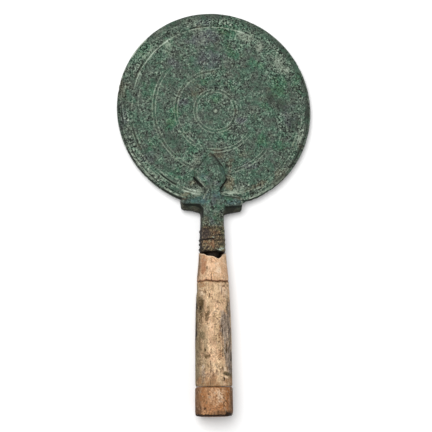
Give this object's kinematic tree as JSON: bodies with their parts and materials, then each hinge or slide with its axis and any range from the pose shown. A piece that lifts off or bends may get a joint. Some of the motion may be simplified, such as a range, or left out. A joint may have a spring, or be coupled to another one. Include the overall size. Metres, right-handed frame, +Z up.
{
  "type": "hand mirror",
  "caption": "Old bronze hand mirror lying face down: round disc with turned rings on its back, leaf-shaped fitting with a crossbar and ribbed shank, bone handle with a broken top edge",
  "frame": {"origin": "on the ground under the middle of the mirror's bounding box, as it lies on the disc's far edge and a small flat spot under the bone grip", "axes": "+Y from the handle to the disc, +X across the disc to the right, +Z up, out of the turned back of the disc"},
  "size_m": [0.14, 0.2872, 0.0285],
  "materials": {
    "disc": "dull green patina, pitted, with emerald, purple-grey and earthy patches",
    "fitting": "dark green patina, bluish on the crossbar, brown and rusty on the ribs",
    "bone_collar": "pale pinkish bone, cracked, dull",
    "bone_grip": "worn cream bone with grey and olive stains, satin",
    "bone_end": "orange-brown stained bone, pitted"
  },
  "bodies": {
    "root": {"disc": "disc", "fitting": "fitting", "bone_collar": "bone_collar", "bone_grip": "bone_grip", "bone_end": "bone_end"}
  },
  "joints": []
}
